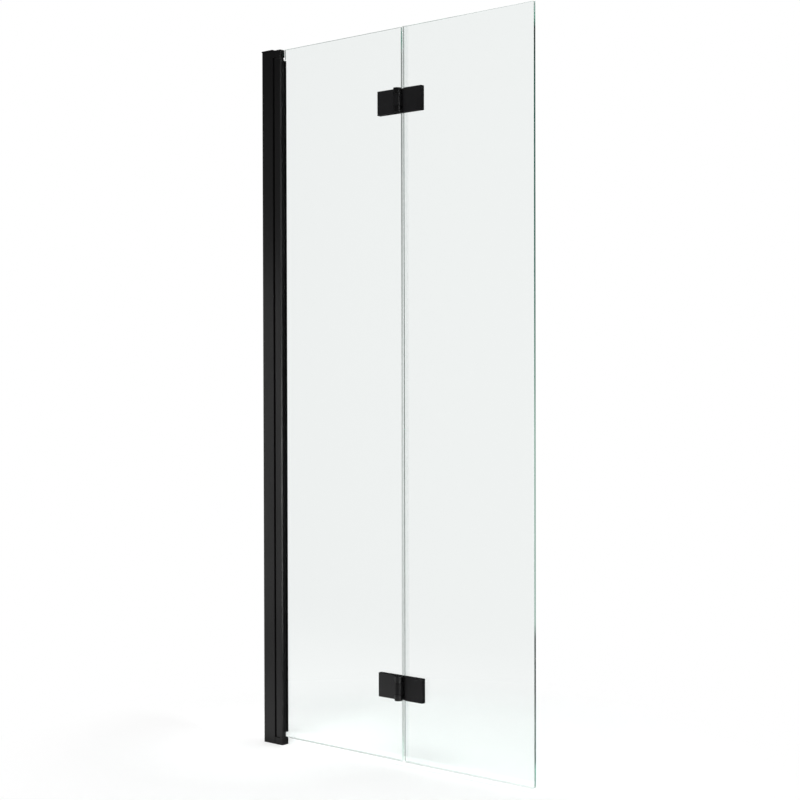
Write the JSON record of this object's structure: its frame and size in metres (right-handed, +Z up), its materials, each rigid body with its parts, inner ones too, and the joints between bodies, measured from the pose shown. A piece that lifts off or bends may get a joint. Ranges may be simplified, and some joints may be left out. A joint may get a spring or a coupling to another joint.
{
  "type": "folding bath screen",
  "caption": "Frameless glass bath screen in folding panes, hinged on black knuckle hinges and hung from a black wall channel by a turning profile.",
  "frame": {"origin": "on the wall face of the channel, at its foot on the rim of the bath, in the middle plane of the glass", "axes": "+Z up, +X along the closed screen away from the wall, -Y towards the side that the hinges stand on, the outside of the bath"},
  "size_m": [0.7, 0.039, 1.5],
  "materials": {
    "black_aluminium": "satin",
    "black_cast_aluminium": "satin",
    "black_plastic": "matte",
    "black_nylon": "matte",
    "black_rubber": "matte",
    "screw_steel": "satin",
    "pin_steel": "satin",
    "clear_glass": "gloss",
    "clear_pvc": "gloss",
    "clear_nylon": "satin"
  },
  "bodies": {
    "wall_side": {"wall_channel": "black_aluminium", "channel_cap": "black_plastic", "jamb_profile": "black_aluminium", "lock_screws": "screw_steel", "upper_pivot_bracket": "black_cast_aluminium", "lower_pivot_bracket": "black_cast_aluminium", "bracket_screws": "screw_steel", "lower_pivot_pin": "pin_steel", "upper_pivot_pin": "pin_steel", "lower_thrust_washer": "black_nylon"},
    "inner_panel": {"turning_profile": "black_aluminium", "glass_liner": "black_rubber", "lower_pivot_bush": "black_nylon", "upper_pivot_bush": "black_nylon", "inner_glass": "clear_glass", "inner_bottom_seal": "clear_pvc", "upper_hinge_inner_leaf": "black_cast_aluminium", "upper_hinge_inner_pad": "black_rubber", "upper_hinge_pin": "pin_steel", "lower_hinge_inner_leaf": "black_cast_aluminium", "lower_hinge_inner_pad": "black_rubber", "lower_hinge_pin": "pin_steel", "hinge_washers": "black_nylon", "hinge_pin_caps": "black_plastic", "inner_leaf_screws": "screw_steel", "inner_leaf_sleeves": "clear_nylon"},
    "outer_panel": {"outer_glass": "clear_glass", "outer_bottom_seal": "clear_pvc", "joint_seal": "clear_pvc", "upper_hinge_outer_leaf": "black_cast_aluminium", "upper_hinge_outer_pad": "black_rubber", "lower_hinge_outer_leaf": "black_cast_aluminium", "lower_hinge_outer_pad": "black_rubber", "outer_leaf_screws": "screw_steel", "outer_leaf_sleeves": "clear_nylon"}
  },
  "joints": [
    {"name": "wall_pivot", "type": "hinge", "parent": "wall_side", "child": "inner_panel", "pos_m": [0.0488, -0.0094, 0], "axis": [0, 0, 1], "range_deg": [-90, 90]},
    {"name": "panel_fold", "type": "hinge", "parent": "inner_panel", "child": "outer_panel", "pos_m": [0.38175, -0.0185, 1.3], "axis": [0, 0, -1], "range_deg": [0, 180]}
  ]
}
